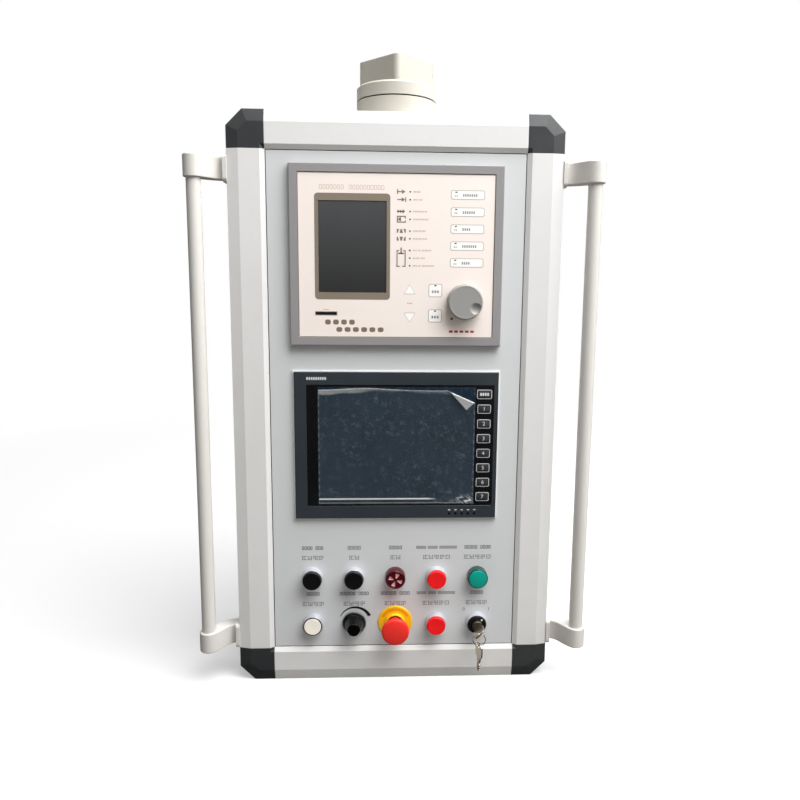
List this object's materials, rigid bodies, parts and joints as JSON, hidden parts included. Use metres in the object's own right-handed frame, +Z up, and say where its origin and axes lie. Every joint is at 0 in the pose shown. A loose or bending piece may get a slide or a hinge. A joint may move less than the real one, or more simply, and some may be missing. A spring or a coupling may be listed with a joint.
{
  "type": "blow moulding machine operator panel",
  "caption": "Tall suspended operator panel with extruded frame, side grab handles, parison programmer, touch terminal, push operators and an emergency stop, under a swivel post.",
  "frame": {"origin": "middle of the flat underside of the box, below the swivel axis", "axes": "+Z up along the swivel axis, +Y from the operator's side into the box, +X to the operator's right"},
  "size_m": [0.5764, 0.2303, 0.915],
  "materials": {
    "rail_paint": "satin powder coat on extruded aluminium",
    "corner_black": "satin powder coat on cast aluminium",
    "zinc_steel": "zinc plated",
    "panel_grey": "fine texture paint",
    "seal_rubber": "matte",
    "coupling_paint": "powder coat on cast aluminium",
    "post_paint": "powder coat",
    "bush_plastic": "moulded",
    "nut_aluminium": "turned",
    "handle_plastic": "moulded and coated",
    "programmer_grey": "fine grain",
    "overlay_cream": "polyester film",
    "display_dark": "polished window",
    "case_steel": "folded sheet",
    "dial_grey": "fine grain",
    "rim_grey": "matte",
    "terminal_slate": "fine grain",
    "overlay_black": "polyester film",
    "screen_glass": "polished",
    "film_clear": "clear film",
    "bezel_chrome": "satin chrome",
    "key_nickel": "nickel plated",
    "button_black": "moulded",
    "button_red": "moulded",
    "button_ivory": "moulded",
    "block_plastic": "moulded",
    "buzzer_red": "moulded",
    "lamp_green": "tinted lens",
    "plate_yellow": "moulded",
    "stop_red": "moulded"
  },
  "bodies": {
    "root": {"bracket_bottom_left": "handle_plastic", "bracket_bottom_right": "handle_plastic", "bracket_top_left": "handle_plastic", "bracket_top_right": "handle_plastic", "button_bezels": "bezel_chrome", "buzzer": "buzzer_red", "collar_base": "coupling_paint", "corner_bottom_left": "corner_black", "corner_bottom_right": "corner_black", "corner_top_left": "corner_black", "corner_top_right": "corner_black", "coupling_plate": "zinc_steel", "coupling_screws": "zinc_steel", "estop_body": "plate_yellow", "estop_plate": "plate_yellow", "frame_screws": "zinc_steel", "front_gasket": "seal_rubber", "front_panel": "panel_grey", "handle_tube_left": "handle_plastic", "handle_tube_right": "handle_plastic", "key_bezel": "bezel_chrome", "operator_blocks": "block_plastic", "operator_nuts": "zinc_steel", "panel_nuts": "zinc_steel", "pilot_lamp": "lamp_green", "programmer_case": "case_steel", "programmer_display": "display_dark", "programmer_frame": "programmer_grey", "programmer_overlay": "overlay_cream", "rail_bottom": "rail_paint", "rail_left": "rail_paint", "rail_right": "rail_paint", "rail_top": "rail_paint", "rear_panel": "panel_grey", "rear_screws": "zinc_steel", "swivel_bush": "bush_plastic", "swivel_seal": "seal_rubber", "terminal_bezel": "terminal_slate", "terminal_case": "case_steel", "terminal_film": "film_clear", "terminal_gasket": "rim_grey", "terminal_overlay": "overlay_black", "terminal_screen": "screen_glass"},
    "arm": {"swivel_ring": "coupling_paint", "swivel_nut": "nut_aluminium", "arm_post": "post_paint"},
    "dial": {"jog_dial": "dial_grey"},
    "button_black_left": {"button_black_left": "button_black"},
    "button_black_right": {"button_black_right": "button_black"},
    "button_red_upper": {"button_red_upper": "button_red"},
    "button_red_lower": {"button_red_lower": "button_red"},
    "button_white": {"button_white": "button_ivory"},
    "knob": {"knob": "button_black"},
    "estop_plunger": {"estop_plunger": "stop_red"},
    "estop_head": {"estop_head": "stop_red"},
    "switch": {"key_rotor": "button_black", "lock_core": "bezel_chrome", "key": "key_nickel"},
    "ring": {"key_ring": "key_nickel"},
    "spare": {"spare_key": "key_nickel"}
  },
  "joints": [
    {"name": "arm_swivel", "type": "hinge", "parent": "root", "child": "arm", "pos_m": [0, 0, 0.859], "axis": [0, 0, 1], "range_deg": [-160, 160]},
    {"name": "dial_spin", "type": "hinge", "parent": "root", "child": "dial", "pos_m": [0.0959, -0.095, 0.57325], "axis": [0, 1, 0], "continuous": true},
    {"name": "button_black_left_press", "type": "slide", "parent": "root", "child": "button_black_left", "axis": [0, 1, 0], "range_m": [0, 0.0045], "stiffness_N_per_m": 450, "springref_m": -0.004},
    {"name": "button_black_right_press", "type": "slide", "parent": "root", "child": "button_black_right", "axis": [0, 1, 0], "range_m": [0, 0.0045], "stiffness_N_per_m": 450, "springref_m": -0.004},
    {"name": "button_red_upper_press", "type": "slide", "parent": "root", "child": "button_red_upper", "axis": [0, 1, 0], "range_m": [0, 0.0045], "stiffness_N_per_m": 450, "springref_m": -0.004},
    {"name": "button_red_lower_press", "type": "slide", "parent": "root", "child": "button_red_lower", "axis": [0, 1, 0], "range_m": [0, 0.0045], "stiffness_N_per_m": 450, "springref_m": -0.004},
    {"name": "button_white_press", "type": "slide", "parent": "root", "child": "button_white", "axis": [0, 1, 0], "range_m": [0, 0.0045], "stiffness_N_per_m": 450, "springref_m": -0.004},
    {"name": "knob_turn", "type": "hinge", "parent": "root", "child": "knob", "pos_m": [-0.0605, -0.095, 0.0899], "axis": [0, 1, 0], "range_deg": [-150, 150]},
    {"name": "estop_push", "type": "slide", "parent": "root", "child": "estop_plunger", "axis": [0, 1, 0], "range_m": [0, 0.004]},
    {"name": "estop_twist", "type": "hinge", "parent": "estop_plunger", "child": "estop_head", "pos_m": [0.001, -0.11, 0.0899], "axis": [0, 1, 0], "range_deg": [0, 30], "stiffness_Nm_per_rad": 0.4},
    {"name": "key_turn", "type": "hinge", "parent": "root", "child": "switch", "pos_m": [0.124, -0.095, 0.0899], "axis": [0, 1, 0], "range_deg": [-90, 0]},
    {"name": "ring_swing", "type": "hinge", "parent": "root", "child": "ring", "pos_m": [0.124, -0.1264, 0.0899], "axis": [1, 0, 0], "range_deg": [-70, 15]},
    {"name": "spare_swing", "type": "hinge", "parent": "ring", "child": "spare", "pos_m": [0.124, -0.1264, 0.0715], "axis": [1, 0, 0], "range_deg": [-45, 20]}
  ]
}
